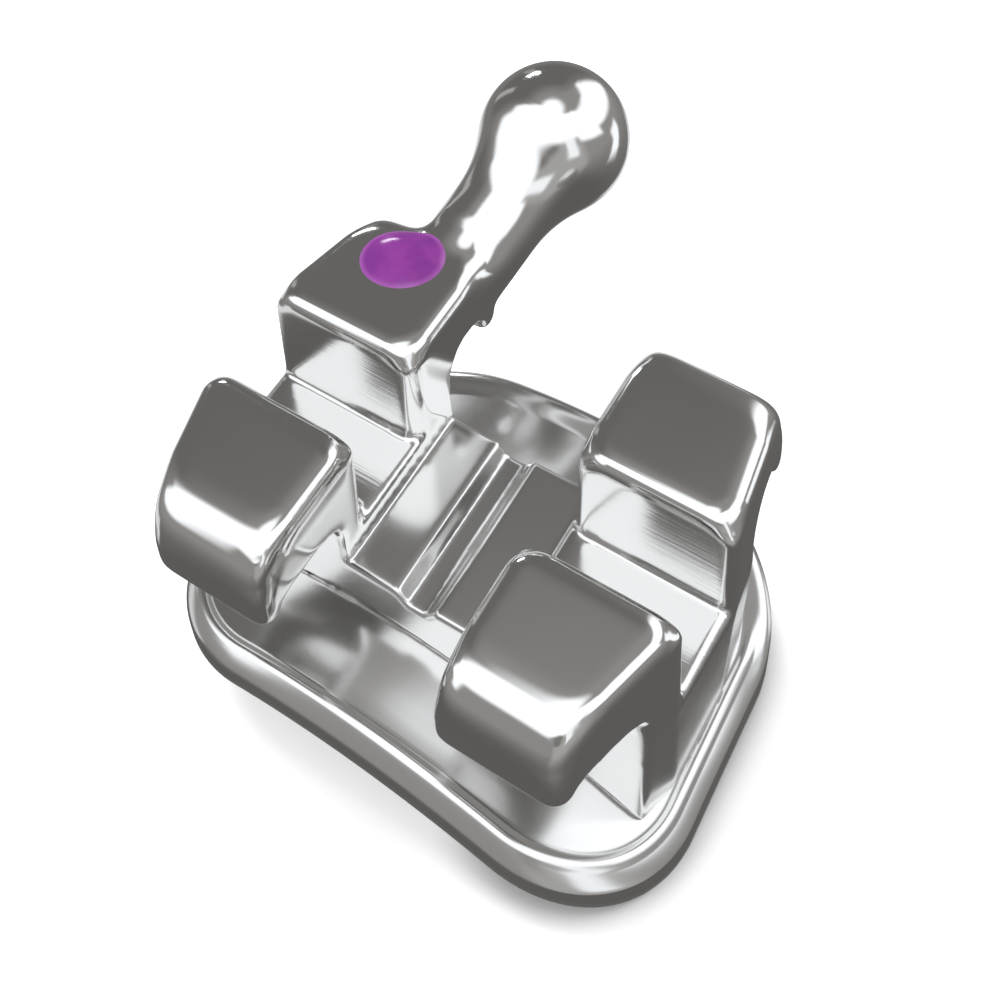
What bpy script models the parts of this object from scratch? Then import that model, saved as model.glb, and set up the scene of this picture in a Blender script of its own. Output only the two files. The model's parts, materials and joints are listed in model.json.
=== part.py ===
"""Orthodontic twin bracket: a cast steel body with four tie wings and a ball hook,
its contoured bonding pad, and the enamel marking dot on the wing that carries the hook.

X runs along the archwire slot (+X distal), Y towards the gum (+Y gingival, the hook's side)
and Z away from the tooth. The origin lies on the pad's tooth side, straight below the centre of
the archwire slot's floor. Every height here is taken from that floor, because the parts hang on
an empty that stands at its level.
"""
import math

import bmesh
import bpy
from mathutils import Matrix, Vector

MM = 0.001

# Archwire slot
SLOT_WIDTH = 0.559 * MM
SLOT_DEPTH = 0.68 * MM
SLOT_END_CHAMFER = 0.07 * MM

# Wing pairs, seen from the front: the crown's long axis leans from the slot's normal
LONG_AXIS_TILT = math.radians(8.8)
MESIAL_INNER_X = 0.51 * MM
DISTAL_INNER_X = 0.54 * MM
DISTAL_INNER_DRAFT = 0.06
MESIAL_REACH = 1.58 * MM
DISTAL_REACH = 1.61 * MM
OUTER_WING_DRAFT = 0.05
OUTER_LEG_DRAFT = 0.03
MESIAL_GINGIVAL_TAPER = math.radians(11.5)
DISTAL_GINGIVAL_TAPER = math.radians(7.5)
OCCLUSAL_SIDE_TAPER = math.radians(14.5)

# Wings and legs, seen from the slot's end
GINGIVAL_TIP_Y = 1.30 * MM
OCCLUSAL_TIP_Y = 1.30 * MM
TIP_ROUNDING = 0.27 * MM
TIP_THICKNESS = 0.19 * MM
TIP_BOTTOM_Z = 0.10 * MM
GINGIVAL_ARCH_TOP_Z = 0.30 * MM
OCCLUSAL_ARCH_TOP_Z = 0.21 * MM
ARCH_FOOT_Z = 0.09 * MM
GINGIVAL_WALL_Y = 0.70 * MM
MESIAL_OCCLUSAL_WALL_Y = 0.55 * MM
DISTAL_OCCLUSAL_WALL_Y = 0.60 * MM

# Edge roundings of the casting
EDGE_ROUND = 0.09 * MM
GINGIVAL_SLOT_EDGE_ROUND = 0.08 * MM
OCCLUSAL_SLOT_EDGE_ROUND = 0.16 * MM
SLOT_CORNER_ROUND = 0.12 * MM
FLOOR_EDGE_ROUND = 0.025 * MM
LEG_EDGE_ROUND = 0.03 * MM

# Web between the wing pairs, with the scribe groove along the crown's long axis
WEB_DROP = 0.14 * MM
WEB_GINGIVAL_Y = 0.67 * MM
WEB_EDGE_ROUND = 0.02 * MM
GROOVE_CENTRE_X = -0.03 * MM
GROOVE_WIDTH = 0.27 * MM
GROOVE_FLOOR_WIDTH = 0.13 * MM
GROOVE_DEPTH = 0.075 * MM

# Ball hook on the mesial gingival wing
HOOK_ROOT = (-0.98 * MM, 1.10 * MM, 0.36 * MM)
BALL_CENTRE = (-0.938 * MM, 2.195 * MM, 0.77 * MM)
BALL_RADIUS = 0.467 * MM
NECK_RADIUS = 0.30 * MM
NECK_BLEND = 0.80 * MM

# Bonding pad, contoured both ways to the crown
PAD_TOP_Z = -0.477 * MM
PAD_THICKNESS = 0.20 * MM
PAD_CREST_X = -0.35 * MM
PAD_RADIUS_X = 4.4 * MM
PAD_RADIUS_Y = 14.0 * MM
BEAD_RADIUS = 0.085 * MM
BEAD_RISE = 0.03 * MM
CHANNEL_WIDTH = 0.12 * MM
CHANNEL_DEPTH = 0.012 * MM
PAD_EDGE_CHAMFER = 0.03 * MM
BRAZE_LINE = 0.015 * MM
# Corners of the pad before rounding: (along the slot, along the long axis, corner radius)
PAD_CORNERS = [(1.76 * MM, -1.28 * MM, 0.88 * MM),
               (1.72 * MM, 1.58 * MM, 0.97 * MM),
               (-1.68 * MM, 1.32 * MM, 1.35 * MM),
               (-1.68 * MM, -1.28 * MM, 0.74 * MM)]

# Adhesive pockets in the pad's tooth side
POCKET_SIZE = 0.20 * MM
POCKET_PITCH = 0.32 * MM
POCKET_DEPTH = 0.07 * MM
POCKET_MARGIN = 0.20 * MM

# Enamel marking dot
DOT_CENTRE = (-1.11 * MM, 0.915 * MM)
DOT_RADIUS = 0.25 * MM
DOT_RECESS = 0.05 * MM
DOT_DOME = 0.035 * MM
DOT_CLEARANCE = 0.008 * MM

# How finely the curves are divided
BEVEL_SEGMENTS = 4
TIP_STEPS = 7
ARCH_STEPS = 6
LIP_STEPS = 8
CORNER_STEPS = 9
STRAIGHT_STEPS = 7
BEAD_STEPS = 7
TURN_STEPS = 40
SHARP_EDGE = math.radians(40)
MERGE = 1e-7


def lean(y):
    """Sideways shift, at height y, of everything that follows the crown's long axis."""
    return -y * math.tan(LONG_AXIS_TILT)


def clear_scene():
    for item in list(bpy.data.objects):
        bpy.data.objects.remove(item, do_unlink=True)
    for group in list(bpy.data.collections):
        bpy.data.collections.remove(group)


def new_collection(name):
    group = bpy.data.collections.new(name)
    bpy.context.scene.collection.children.link(group)
    return group


def new_object(name, bm, group):
    """Close the bmesh into a named object in the given collection."""
    bmesh.ops.recalc_face_normals(bm, faces=bm.faces)
    mesh = bpy.data.meshes.new(name)
    bm.to_mesh(mesh)
    bm.free()
    item = bpy.data.objects.new(name, mesh)
    group.objects.link(item)
    return item


def as_cutter(item):
    item.hide_render = True
    item.display_type = "WIRE"
    return item


def add_boolean(item, other, operation):
    modifier = item.modifiers.new(other.name, "BOOLEAN")
    modifier.operation = operation
    modifier.solver = "EXACT"
    modifier.object = other
    return modifier


def add_material(item, name, colour, roughness, metallic):
    material = bpy.data.materials.new(name)
    material.use_nodes = True
    shader = material.node_tree.nodes["Principled BSDF"]
    shader.inputs["Base Color"].default_value = (*colour, 1.0)
    shader.inputs["Roughness"].default_value = roughness
    shader.inputs["Metallic"].default_value = metallic
    item.data.materials.append(material)


def arc(centre, radii, start, end, steps):
    """Points of an elliptical arc from one angle to another, both ends included."""
    points = []
    for i in range(steps + 1):
        angle = start + (end - start) * i / steps
        points.append((centre[0] + radii[0] * math.cos(angle), centre[1] + radii[1] * math.sin(angle)))
    return points


def wing_outline(tip_y, wall_y, arch_top_z):
    """Side view of one tie wing above the slot floor's level, ending at its leg's wall."""
    tip_inner_y = tip_y - TIP_THICKNESS
    tip_centre = (tip_y - TIP_ROUNDING, SLOT_DEPTH - TIP_ROUNDING)
    middle_y = (tip_inner_y + wall_y) / 2
    half_span = (tip_inner_y - wall_y) / 2
    lip_radius = TIP_THICKNESS / 2
    lip_z = TIP_BOTTOM_Z + lip_radius
    points = [(SLOT_WIDTH / 2, 0.0), (SLOT_WIDTH / 2, SLOT_DEPTH)]
    points += arc(tip_centre, (TIP_ROUNDING, TIP_ROUNDING), math.pi / 2, 0.0, TIP_STEPS)
    points += arc((tip_y - lip_radius, lip_z), (lip_radius, lip_radius), 0.0, -math.pi, LIP_STEPS)
    points += arc((middle_y, lip_z), (half_span, arch_top_z - lip_z), 0.0, math.pi / 2, ARCH_STEPS)[1:]
    points += arc((middle_y, ARCH_FOOT_Z), (half_span, arch_top_z - ARCH_FOOT_Z), math.pi / 2, math.pi,
                  ARCH_STEPS)[1:]
    points += [(wall_y, 0.0)]
    return points


def inner_side_x(side, y, z):
    """The side of a wing pair that faces the web; the distal pair's leans away from it."""
    if side < 0:
        return -MESIAL_INNER_X + lean(y)
    return DISTAL_INNER_X + DISTAL_INNER_DRAFT * z + lean(y)


def outer_side_x(side, y, z):
    """The mesial or distal side: widest at the slot, narrower to the tips, the top and the base."""
    reach = DISTAL_REACH if side > 0 else MESIAL_REACH
    gingival_taper = DISTAL_GINGIVAL_TAPER if side > 0 else MESIAL_GINGIVAL_TAPER
    taper = gingival_taper if y > 0 else OCCLUSAL_SIDE_TAPER
    reach -= math.tan(taper) * max(abs(y) - SLOT_WIDTH / 2, 0.0)
    reach -= OUTER_WING_DRAFT * z if z > 0 else -OUTER_LEG_DRAFT * z
    return side * reach + lean(y)


def wing_pair(name, side, group):
    """One gingival and one occlusal tie wing on their legs, as an outline drawn out sideways."""
    bottom_z = PAD_TOP_Z - PAD_THICKNESS * 3
    occlusal_wall_y = DISTAL_OCCLUSAL_WALL_Y if side > 0 else MESIAL_OCCLUSAL_WALL_Y
    bm = bmesh.new()

    def corner(y, z):
        return bm.verts.new((inner_side_x(side, y, z), y, z))

    gingival = [corner(y, z) for y, z in wing_outline(GINGIVAL_TIP_Y, GINGIVAL_WALL_Y, GINGIVAL_ARCH_TOP_Z)]
    occlusal = [corner(-y, z) for y, z in wing_outline(OCCLUSAL_TIP_Y, occlusal_wall_y, OCCLUSAL_ARCH_TOP_Z)]
    feet = [corner(y, bottom_z) for y in (GINGIVAL_WALL_Y, SLOT_WIDTH / 2, -SLOT_WIDTH / 2, -occlusal_wall_y)]
    bm.faces.new(gingival)
    bm.faces.new(occlusal)
    bm.faces.new((gingival[0], gingival[-1], feet[0], feet[1]))
    bm.faces.new((gingival[0], feet[1], feet[2], occlusal[0]))
    bm.faces.new((occlusal[0], feet[2], feet[3], occlusal[-1]))
    inner_verts = set(bm.verts)
    grown = bmesh.ops.extrude_face_region(bm, geom=list(bm.faces), use_keep_orig=True)
    for item in grown["geom"]:
        if isinstance(item, bmesh.types.BMVert):
            item.co.x = outer_side_x(side, item.co.y, item.co.z)
    bmesh.ops.recalc_face_normals(bm, faces=bm.faces)
    bm.normal_update()
    mark_edge_roundings(bm, inner_verts, bottom_z)
    pair = new_object(name, bm, group)
    rounding = pair.modifiers.new("cast edges", "BEVEL")
    rounding.width = OCCLUSAL_SLOT_EDGE_ROUND
    rounding.segments = BEVEL_SEGMENTS
    rounding.limit_method = "WEIGHT"
    rounding.offset_type = "OFFSET"
    rounding.use_clamp_overlap = False
    return pair


def mark_edge_roundings(bm, inner_verts, bottom_z):
    """Give each sharp edge of a wing pair its own radius, as a share of the modifier's width."""
    weight = bm.edges.layers.float.new("bevel_weight_edge")
    for edge in bm.edges:
        middle = (edge.verts[0].co + edge.verts[1].co) / 2
        if edge.calc_face_angle(0.0) < SHARP_EDGE or middle.z < bottom_z * 0.99:
            continue
        if abs(middle.y) < SLOT_WIDTH / 2 * 1.01:
            radius = slot_edge_round(edge, middle, inner_verts)
        else:
            radius = side_edge_round(middle)
        edge[weight] = radius / OCCLUSAL_SLOT_EDGE_ROUND


def side_edge_round(middle):
    """Radius for an edge along a wing's or leg's mesial or distal side, by where its middle lies."""
    arch_top_z = GINGIVAL_ARCH_TOP_Z if middle.y > 0 else OCCLUSAL_ARCH_TOP_Z
    tip_y = GINGIVAL_TIP_Y if middle.y > 0 else OCCLUSAL_TIP_Y
    if middle.z > arch_top_z * 1.01:
        return EDGE_ROUND
    past_inner_face = abs(middle.y) - (tip_y - TIP_THICKNESS)
    blend = min(max(past_inner_face / (TIP_THICKNESS / 2), 0.0), 1.0)
    return LEG_EDGE_ROUND + (EDGE_ROUND - LEG_EDGE_ROUND) * blend


def slot_edge_round(edge, middle, inner_verts):
    """The slot keeps sharp floor corners; its ends are chamfered and its rims rounded."""
    ends_inside = [vert in inner_verts for vert in edge.verts]
    if ends_inside[0] != ends_inside[1]:
        if middle.z < SLOT_DEPTH / 2:
            return 0.0
        return GINGIVAL_SLOT_EDGE_ROUND if middle.y > 0 else OCCLUSAL_SLOT_EDGE_ROUND
    upright = abs(edge.verts[0].co.z - edge.verts[1].co.z) > SLOT_DEPTH / 2
    if upright and (ends_inside[0] or middle.y < 0):
        return SLOT_CORNER_ROUND
    return FLOOR_EDGE_ROUND if ends_inside[0] else SLOT_END_CHAMFER


def leaning_block(name, x_range, y_range, z_range, group):
    """A box whose mesial and distal sides follow the crown's long axis."""
    bm = bmesh.new()
    bmesh.ops.create_cube(bm, size=1.0)
    for vert in bm.verts:
        y = y_range[vert.co.y > 0]
        vert.co = (x_range[vert.co.x > 0] + lean(y), y, z_range[vert.co.z > 0])
    return new_object(name, bm, group)


def web_block(group):
    """The floor between the wing pairs, a step below the slot's own floor."""
    reach_x = (DISTAL_INNER_X + MESIAL_REACH) / 2
    web = leaning_block("web_between_wings", (-reach_x, reach_x), (-MESIAL_OCCLUSAL_WALL_Y, WEB_GINGIVAL_Y),
                        (PAD_TOP_Z - PAD_THICKNESS * 2, -WEB_DROP), group)
    rounding = web.modifiers.new("web edges", "BEVEL")
    rounding.width = WEB_EDGE_ROUND
    rounding.segments = 2
    rounding.limit_method = "ANGLE"
    return web


def groove_cutter(group):
    """Trapezium section of the scribe groove, drawn out along the crown's long axis."""
    reach_y = WEB_GINGIVAL_Y * 1.5
    floor_z = -WEB_DROP - GROOVE_DEPTH
    flare = (GROOVE_WIDTH - GROOVE_FLOOR_WIDTH) / 2
    section = [(-GROOVE_FLOOR_WIDTH / 2, floor_z), (GROOVE_FLOOR_WIDTH / 2, floor_z),
               (GROOVE_WIDTH / 2 + flare, -WEB_DROP + GROOVE_DEPTH),
               (-GROOVE_WIDTH / 2 - flare, -WEB_DROP + GROOVE_DEPTH)]
    bm = bmesh.new()
    face = bm.faces.new([bm.verts.new((x + GROOVE_CENTRE_X + lean(-reach_y), -reach_y, z)) for x, z in section])
    grown = bmesh.ops.extrude_face_region(bm, geom=[face], use_keep_orig=True)
    for item in grown["geom"]:
        if isinstance(item, bmesh.types.BMVert):
            item.co += Vector((lean(reach_y) - lean(-reach_y), 2 * reach_y, 0.0))
    return as_cutter(new_object("scribe_groove", bm, group))


def hook_profile(length):
    """Half section of the hook: straight neck, hollow blend and ball, as (radius, height)."""
    rise = math.sqrt((BALL_RADIUS + NECK_BLEND) ** 2 - (NECK_RADIUS + NECK_BLEND) ** 2)
    blend_centre = (NECK_RADIUS + NECK_BLEND, length - rise)
    touch = math.atan2(rise, NECK_RADIUS + NECK_BLEND)
    points = [(0.0, 0.0), (NECK_RADIUS, 0.0)]
    points += arc(blend_centre, (NECK_BLEND, NECK_BLEND), math.pi, math.pi - touch, TIP_STEPS)
    points += arc((0.0, length), (BALL_RADIUS, BALL_RADIUS), -touch, math.pi / 2, TURN_STEPS // 3)[1:]
    return points[::-1]


def turned_object(name, profile, group):
    """A profile in the XZ plane, closed on the axis, turned once around Z."""
    bm = bmesh.new()
    verts = [bm.verts.new((radius, 0.0, height)) for radius, height in profile]
    for first, second in zip(verts, verts[1:]):
        bm.edges.new((first, second))
    mesh = bpy.data.meshes.new(name)
    bm.to_mesh(mesh)
    bm.free()
    item = bpy.data.objects.new(name, mesh)
    group.objects.link(item)
    turn = item.modifiers.new("turned", "SCREW")
    turn.axis = "Z"
    turn.angle = 2 * math.pi
    turn.steps = TURN_STEPS
    turn.render_steps = TURN_STEPS
    turn.use_merge_vertices = True
    turn.merge_threshold = MERGE
    return item


def ball_hook(group):
    """The elastic hook: a ball on a thick neck that leaves the wing tip and rises outwards."""
    axis = Vector(BALL_CENTRE) - Vector(HOOK_ROOT)
    hook = turned_object("ball_hook", hook_profile(axis.length), group)
    hook.location = HOOK_ROOT
    hook.rotation_mode = "QUATERNION"
    hook.rotation_quaternion = axis.to_track_quat("Z", "Y")
    return hook


def pad_surface_z(x, y):
    """The pad's outer surface, rounded both ways like the crown that it is bonded to."""
    return PAD_TOP_Z - (x - PAD_CREST_X) ** 2 / (2 * PAD_RADIUS_X) - y * y / (2 * PAD_RADIUS_Y)


def pad_outline(inset):
    """The pad's rounded rhomboid outline, moved inwards by the given distance."""
    corners = []
    count = len(PAD_CORNERS)
    for i, (u, v, radius) in enumerate(PAD_CORNERS):
        here = Vector((u, v))
        before = (Vector(PAD_CORNERS[i - 1][:2]) - here).normalized()
        after = (Vector(PAD_CORNERS[(i + 1) % count][:2]) - here).normalized()
        half_angle = before.angle(after) / 2
        centre = here + (before + after).normalized() * (radius / math.sin(half_angle))
        start = math.atan2(before.x, -before.y)
        end = start + math.pi - 2 * half_angle
        corners.append(arc(centre, (radius - inset, radius - inset), start, end, CORNER_STEPS))
    points = []
    for corner, following in zip(corners, corners[1:] + corners[:1]):
        points += corner + between(corner[-1], following[0], STRAIGHT_STEPS)
    return [(u + lean(v), v) for u, v in points]


def between(start, end, steps):
    """Evenly spaced points from one point to another, both ends left out."""
    return [tuple(Vector(start).lerp(Vector(end), i / steps)) for i in range(1, steps)]


def pad_rings():
    """Outline insets and heights of the pad's section, from the tooth side round to the top."""
    bead_centre_z = BEAD_RISE - BEAD_RADIUS
    rings = [(PAD_EDGE_CHAMFER, -PAD_THICKNESS), (0.0, PAD_EDGE_CHAMFER - PAD_THICKNESS)]
    bead = arc((BEAD_RADIUS, bead_centre_z), (BEAD_RADIUS, BEAD_RADIUS), math.pi, math.radians(35), BEAD_STEPS)
    rings += bead
    channel_start = bead[-1][0]
    rings += [(channel_start + CHANNEL_WIDTH * 0.25, -CHANNEL_DEPTH),
              (channel_start + CHANNEL_WIDTH * 0.6, -CHANNEL_DEPTH * 0.5),
              (channel_start + CHANNEL_WIDTH, 0.0)]
    return rings


def contoured_plate(name, rings, group, lift=0.0, shrink_steps=(0.78, 0.55, 0.32)):
    """Loft the pad's rings over the contoured surface and close both sides towards the centre."""
    bm = bmesh.new()

    def loop(points, height):
        return [bm.verts.new((x, y, pad_surface_z(x, y) + height)) for x, y in points]

    def bridge(lower, upper):
        count = len(lower)
        for i in range(count):
            j = (i + 1) % count
            bm.faces.new((lower[i], lower[j], upper[j], upper[i]))

    def close(start, outline, height):
        last = start
        for factor in shrink_steps:
            ring = loop([(x * factor, y * factor) for x, y in outline], height)
            bridge(last, ring)
            last = ring
        bmesh.ops.triangulate(bm, faces=[bm.faces.new(last)])

    loops = [loop(pad_outline(inset), height + lift) for inset, height in rings]
    for lower, upper in zip(loops, loops[1:]):
        bridge(lower, upper)
    close(loops[-1], pad_outline(rings[-1][0]), rings[-1][1] + lift)
    close(loops[0], pad_outline(rings[0][0]), rings[0][1] + lift)
    return new_object(name, bm, group)


def pad_clearance(group):
    """The space of the pad and all below it, which the body's foot is cut back to."""
    depth = PAD_THICKNESS * 6
    plate = contoured_plate("pad_clearance", [(0.0, -depth), (0.0, 0.0)], group, lift=BRAZE_LINE)
    return as_cutter(plate)


def pocket_positions():
    """Grid points on the pad whose pocket stays inside the plain margin."""
    limits = pad_outline(BEAD_RADIUS + POCKET_MARGIN)
    half_span = max(max(abs(x), abs(y)) for x, y in limits)
    steps = int(half_span / POCKET_PITCH) + 1
    places = []
    for i in range(-steps, steps):
        for j in range(-steps, steps):
            v = (j + 0.5) * POCKET_PITCH
            x = (i + 0.5) * POCKET_PITCH + lean(v)
            if inside(limits, x, v):
                places.append((x, v))
    return places


def inside(outline, x, y):
    """Whether a point lies within a convex outline that runs anticlockwise."""
    for (x0, y0), (x1, y1) in zip(outline, outline[1:] + outline[:1]):
        if (x1 - x0) * (y - y0) - (y1 - y0) * (x - x0) < 0:
            return False
    return True


def pocket_cutter(group):
    """All adhesive pockets as one cutter that reaches in from the tooth side."""
    bm = bmesh.new()
    height = PAD_THICKNESS
    for x, y in pocket_positions():
        top_z = pad_surface_z(x, y) - PAD_THICKNESS + POCKET_DEPTH
        place = Matrix.Translation((x, y, top_z - height / 2))
        size = Matrix.Diagonal((POCKET_SIZE, POCKET_SIZE, height, 1.0))
        bmesh.ops.create_cube(bm, size=1.0, matrix=place @ size)
    return as_cutter(new_object("adhesive_pockets", bm, group))


def build_pad(parts, cutters):
    pad = contoured_plate("base_pad", pad_rings(), parts)
    add_boolean(pad, pocket_cutter(cutters), "DIFFERENCE")
    add_material(pad, "pad steel", (0.62, 0.61, 0.60), 0.15, 1.0)
    return pad


def dot_recess(group):
    radius = DOT_RADIUS + DOT_CLEARANCE
    floor_z = SLOT_DEPTH - DOT_RECESS - DOT_CLEARANCE
    profile = [(0.0, SLOT_DEPTH + EDGE_ROUND), (radius, SLOT_DEPTH + EDGE_ROUND), (radius, floor_z), (0.0, floor_z)]
    recess = turned_object("dot_recess", profile, group)
    recess.location = (*DOT_CENTRE, 0.0)
    return as_cutter(recess)


def build_dot(parts):
    """A flat-bottomed bead of enamel, domed a little above the wing."""
    foot_z = SLOT_DEPTH - DOT_RECESS
    rim_z = SLOT_DEPTH - DOT_CLEARANCE
    dome = arc((0.0, rim_z), (DOT_RADIUS, DOT_DOME + DOT_CLEARANCE), math.pi / 2, 0.0, TIP_STEPS)
    profile = dome + [(DOT_RADIUS, foot_z), (0.0, foot_z)]
    dot = turned_object("id_dot", profile, parts)
    dot.location = (*DOT_CENTRE, 0.0)
    add_material(dot, "purple enamel", (0.23, 0.04, 0.30), 0.25, 0.0)
    return dot


def build_body(parts, cutters):
    body = wing_pair("bracket_body", 1, parts)
    joined = [wing_pair("mesial_wings", -1, cutters), web_block(cutters), ball_hook(cutters)]
    for piece in joined:
        add_boolean(body, as_cutter(piece), "UNION")
    for cutter in (groove_cutter(cutters), pad_clearance(cutters), dot_recess(cutters)):
        add_boolean(body, cutter, "DIFFERENCE")
    add_material(body, "polished steel", (0.62, 0.61, 0.60), 0.12, 1.0)
    return body


def hang_on_slot_floor():
    """Carry everything on an empty at the slot floor's height above the pad's tooth side."""
    pieces = list(bpy.data.objects)
    level = bpy.data.objects.new("slot_floor_level", None)
    level.empty_display_size = SLOT_WIDTH
    level.location.z = PAD_THICKNESS - pad_surface_z(0.0, 0.0)
    bpy.context.scene.collection.objects.link(level)
    for item in pieces:
        item.parent = level


def main():
    clear_scene()
    parts = new_collection("orthodontic_bracket")
    cutters = new_collection("cutters")
    body = build_body(parts, cutters)
    pad = build_pad(parts, cutters)
    dot = build_dot(parts)
    hang_on_slot_floor()
    for item in (body, pad, dot):
        item.data.shade_smooth()
        item.data.set_sharp_from_angle(angle=math.radians(35))
    bpy.context.view_layer.update()


main()
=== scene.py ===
# %% [markdown]
# # Orthodontic bracket: looks
# The bracket is a few millimetres of polished stainless steel with one drop of enamel on it.
# On metal like this the surface has almost no colour of its own: what the eye reads is the shape
# of the reflections. So this lesson spends its effort on two things, clean surface normals and a
# studio that is worth reflecting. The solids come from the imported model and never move.

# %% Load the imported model
import json
import math

import bmesh
import bpy
import numpy as np
from mathutils import Matrix, Vector
from mathutils.bvhtree import BVHTree


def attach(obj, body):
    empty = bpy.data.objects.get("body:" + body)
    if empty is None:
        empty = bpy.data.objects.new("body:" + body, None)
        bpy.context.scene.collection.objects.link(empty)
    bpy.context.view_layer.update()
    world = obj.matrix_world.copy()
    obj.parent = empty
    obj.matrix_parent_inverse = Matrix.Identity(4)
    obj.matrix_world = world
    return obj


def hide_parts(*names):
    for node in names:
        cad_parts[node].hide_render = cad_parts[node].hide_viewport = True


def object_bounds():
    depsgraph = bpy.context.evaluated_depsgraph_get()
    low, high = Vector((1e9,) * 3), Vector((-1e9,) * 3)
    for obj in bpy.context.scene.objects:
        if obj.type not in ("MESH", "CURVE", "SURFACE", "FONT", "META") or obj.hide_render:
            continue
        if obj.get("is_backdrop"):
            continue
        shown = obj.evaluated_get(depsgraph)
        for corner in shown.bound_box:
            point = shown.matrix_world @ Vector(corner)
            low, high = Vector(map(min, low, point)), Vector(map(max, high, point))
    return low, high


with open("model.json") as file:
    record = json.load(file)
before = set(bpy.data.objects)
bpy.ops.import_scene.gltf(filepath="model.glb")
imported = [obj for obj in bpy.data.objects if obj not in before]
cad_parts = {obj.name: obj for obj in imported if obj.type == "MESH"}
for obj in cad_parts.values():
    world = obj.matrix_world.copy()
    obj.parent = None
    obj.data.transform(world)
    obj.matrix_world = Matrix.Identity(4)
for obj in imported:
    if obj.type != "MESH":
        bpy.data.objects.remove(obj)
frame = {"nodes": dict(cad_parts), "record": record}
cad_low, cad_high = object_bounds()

MM = 0.001
print("nodes:", sorted(frame["nodes"]))
print("box in mm:", [round(v / MM, 2) for v in cad_low], [round(v / MM, 2) for v in cad_high])

# %% [markdown]
# ## Where everything is measured from
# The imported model's origin lies on the tooth side of the pad. The archwire slot's floor is the
# level that the maker measures from, so its height is kept as a value of its own. It comes from
# the record, where the mount on the slot floor stores it, so nothing is typed twice.

# %% Slot floor level
mounts = {mount["name"]: mount for mount in frame["record"]["mounts"]}
SLOT_FLOOR_Z = mounts["slot_floor_distal"]["pos_m"][2]
print("slot floor is", round(SLOT_FLOOR_Z / MM, 4), "mm above the tooth side")

# %% [markdown]
# ## Camera
# The photograph was taken from high up, in front and to the distal side, quite close: the near
# wings look clearly larger than the far ones. That perspective is why the place matters as much
# as the angle. The lens and the place were found by lining up the model's own corners.

# %% Camera
# Place in millimetres from the slot floor, turn in degrees, focal length for a 36 mm wide picture
CAMERA_FROM_SLOT = Vector((3.836, -4.475, 7.346)) * MM
CAMERA_TURN = [math.radians(angle) for angle in (39.247, 1.947, 36.324)]
LENS_MM = 60.77
PICTURE_MM = 36.0


def make_camera():
    """The scene's camera, at the photograph's viewing angle."""
    data = bpy.data.cameras.new("camera")
    data.lens = LENS_MM
    data.sensor_width = PICTURE_MM
    data.clip_start = 0.05 * MM
    data.clip_end = 1.0
    camera = bpy.data.objects.new("camera", data)
    camera.location = CAMERA_FROM_SLOT + Vector((0.0, 0.0, SLOT_FLOOR_Z))
    camera.rotation_euler = CAMERA_TURN
    bpy.context.scene.collection.objects.link(camera)
    bpy.context.scene.camera = camera
    return camera


camera = make_camera()
print("camera is", round(camera.location.length / MM, 2), "mm from the origin")

# %% [markdown]
# ## Helpers for node trees
# Every material below is a small graph. A few helpers keep them readable: one places a node with
# its settings, one adds a sum or product, so that a formula reads from left to right, and the
# others make a soft step, a blend or a group.

# %% Node helpers


def place_node(tree, kind, label="", **settings):
    """Add a node; settings are its attributes."""
    node = tree.nodes.new(kind)
    node.label = label
    for name, value in settings.items():
        setattr(node, name, value)
    return node


def feed(tree, socket, value):
    """Connect a socket to another one, or set it to a plain value."""
    if isinstance(value, bpy.types.NodeSocket):
        tree.links.new(value, socket)
    else:
        socket.default_value = value


def maths(tree, operation, *values):
    """A Math node with its inputs fed in order; returns its result."""
    node = place_node(tree, "ShaderNodeMath", operation=operation)
    for socket, value in zip(node.inputs, values):
        feed(tree, socket, value)
    return node.outputs[0]


def ramp(tree, value, low, high, low_result=0.0, high_result=1.0):
    """Smooth step of a value from one level to another."""
    node = place_node(tree, "ShaderNodeMapRange", interpolation_type="SMOOTHSTEP")
    for socket, given in zip(node.inputs, (value, low, high, low_result, high_result)):
        feed(tree, socket, given)
    return node.outputs[0]


def blend_colours(tree, mask, first, second):
    """Mix two colours by a mask."""
    node = place_node(tree, "ShaderNodeMix", data_type="RGBA")
    feed(tree, node.inputs["Factor"], mask)
    feed(tree, node.inputs["A"], first)
    feed(tree, node.inputs["B"], second)
    return node.outputs["Result"]


def new_group(name, inputs, outputs):
    """A shader group with named sockets; inputs are (name, kind, value) and outputs (name, kind)."""
    group = bpy.data.node_groups.new(name, "ShaderNodeTree")
    for title, kind, value in inputs:
        socket = group.interface.new_socket(title, in_out="INPUT", socket_type=kind)
        socket.default_value = value
    for title, kind in outputs:
        group.interface.new_socket(title, in_out="OUTPUT", socket_type=kind)
    entry = group.nodes.new("NodeGroupInput")
    result = group.nodes.new("NodeGroupOutput")
    return group, entry, result


def use_group(tree, group, **values):
    """Place a group in a material and set its named inputs."""
    node = place_node(tree, "ShaderNodeGroup", label=group.name)
    node.node_tree = group
    for name, value in values.items():
        feed(tree, node.inputs[name.replace("_", " ")], value)
    return node


print("helpers:", ", ".join(helper.__name__ for helper in (place_node, feed, maths, ramp, new_group)))

# %% [markdown]
# ## The finish of small polished castings
# A bracket is moulded from steel powder, fused in a furnace and then tumbled with fine media
# until it shines. Tumbling rounds and polishes, but it can't take out the faint waves that the
# furnace leaves, so a reflection on a flat is slightly liquid, and the shine varies a little.
# One group gives both effects: a height for the waves and a roughness for the haze. It is a
# group because body and pad share it and differ only in the numbers.

# %% Shared group: tumbled polish
WAVE_DETAIL = (1.0, 0.35)
# Patches of uneven shine per millimetre
SHINE_PATCHES = 3.0
SHINE_DETAIL = 4.0


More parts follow.
